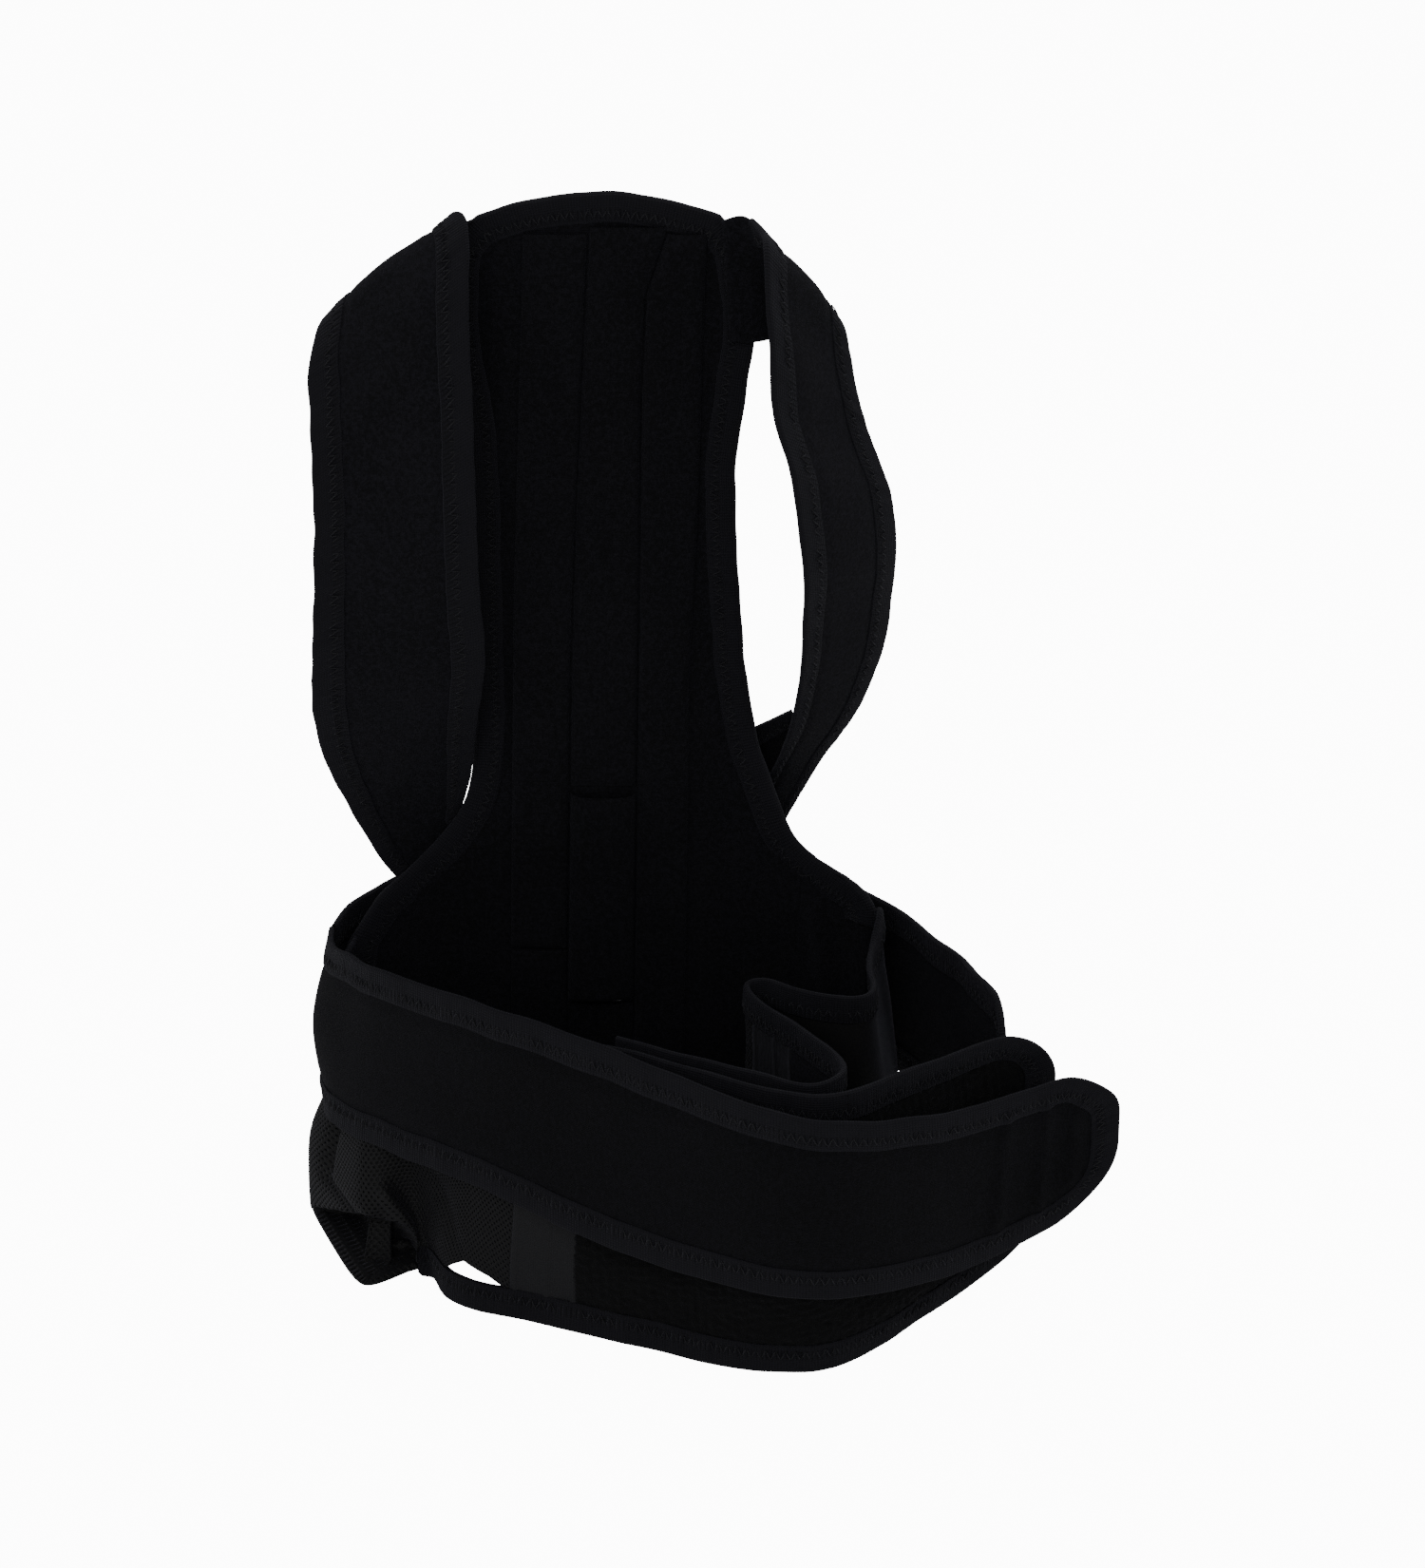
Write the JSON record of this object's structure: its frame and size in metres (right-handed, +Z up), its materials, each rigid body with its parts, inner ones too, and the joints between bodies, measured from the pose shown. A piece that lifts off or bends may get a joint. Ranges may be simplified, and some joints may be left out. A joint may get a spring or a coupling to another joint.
{
  "type": "back brace",
  "caption": "Full-back posture brace with padded hourglass back panel, shoulder straps crossing behind it, and an elastic waist belt with mesh sides and tapered hook-and-loop ends.",
  "frame": {"origin": "on the lower edge of the back panel, under the spine, where the brace stands", "axes": "+Z up the spine, -Y towards the wearer's side of the panel and the belt's closed front, +X to the right as the wearer's side is looked at"},
  "size_m": [0.3802, 0.2523, 0.503],
  "materials": {
    "knit": "matte black knitted fabric, faintly napped",
    "tape": "ribbed black elastic tape, zigzag stitched",
    "mesh": "open black air mesh",
    "pile": "black loop pile",
    "hook": "black hook tape",
    "foam": "dark grey closed foam",
    "steel": "flat spring-steel stay"
  },
  "bodies": {
    "back_panel": {"back_foam_core": "foam", "back_lining": "knit", "back_lower_binding": "tape", "back_outer_cover": "knit", "back_upper_binding": "tape", "left_channel_end_patch": "knit", "left_strap_crossing": "knit", "left_strap_crossing_lower_binding": "tape", "left_strap_crossing_upper_binding": "tape", "lumbar_pocket": "knit", "pocket_lower_patch": "knit", "right_strap_crossing": "knit", "right_strap_crossing_lower_binding": "tape", "right_strap_crossing_upper_binding": "tape", "stay_centre": "steel", "stay_channel_centre": "knit", "stay_channel_left": "knit", "stay_channel_right": "knit", "stay_left": "steel", "stay_right": "steel"},
    "lumbar_insert": {"lumbar_insert": "foam"},
    "left_shoulder_loop": {"left_shoulder_strap": "knit", "left_shoulder_strap_inner_binding": "tape", "left_shoulder_strap_outer_binding": "tape"},
    "right_shoulder_loop": {"right_shoulder_strap": "knit", "right_shoulder_strap_inner_binding": "tape", "right_shoulder_strap_outer_binding": "tape"},
    "belt_left": {"belt_left_end_binding": "tape", "belt_left_lining": "knit", "belt_left_loop_panel": "pile", "belt_left_lower_binding": "tape", "belt_left_mesh_side": "mesh", "belt_left_webbing_band": "tape"},
    "front_tail": {"front_tail": "knit", "front_tail_binding": "tape", "front_tail_hook_patch": "hook"},
    "side_tail": {"side_tail": "knit", "side_tail_binding": "tape", "side_tail_hook_patch": "hook"},
    "belt_right": {"belt_right_end_panel": "knit", "belt_right_lower_binding": "tape", "belt_right_mesh_side": "mesh", "belt_right_upper_binding": "tape", "belt_right_webbing_band": "tape"}
  },
  "joints": [
    {"name": "lumbar_insert_slide", "type": "slide", "parent": "back_panel", "child": "lumbar_insert", "axis": [0, 0, 1], "range_m": [0, 0.11]},
    {"name": "left_shoulder_swing", "type": "hinge", "parent": "back_panel", "child": "left_shoulder_loop", "pos_m": [-0.0695, 0.0005, 0.484], "axis": [0.0086, -0.0252, 0.9996], "range_deg": [-35, 5]},
    {"name": "right_shoulder_swing", "type": "hinge", "parent": "back_panel", "child": "right_shoulder_loop", "pos_m": [0.0695, 0.0005, 0.484], "axis": [-0.067, -0.0299, 0.9973], "range_deg": [-5, 20]},
    {"name": "belt_left_swing", "type": "hinge", "parent": "back_panel", "child": "belt_left", "pos_m": [-0.143, -0.0362, 0.074], "axis": [0, 0, 1], "range_deg": [-80, 0]},
    {"name": "front_tail_swing", "type": "hinge", "parent": "belt_left", "child": "front_tail", "pos_m": [-0.143, -0.0362, 0.105], "axis": [0, 0, 1], "range_deg": [-60, 0]},
    {"name": "side_tail_swing", "type": "hinge", "parent": "back_panel", "child": "side_tail", "pos_m": [0.1192, 0.0074, 0.11], "axis": [0, 0, 1], "range_deg": [0, 60]},
    {"name": "belt_right_swing", "type": "hinge", "parent": "back_panel", "child": "belt_right", "pos_m": [0.131, -0.0405, 0.074], "axis": [0, 0, 1], "range_deg": [-20, 0]}
  ]
}
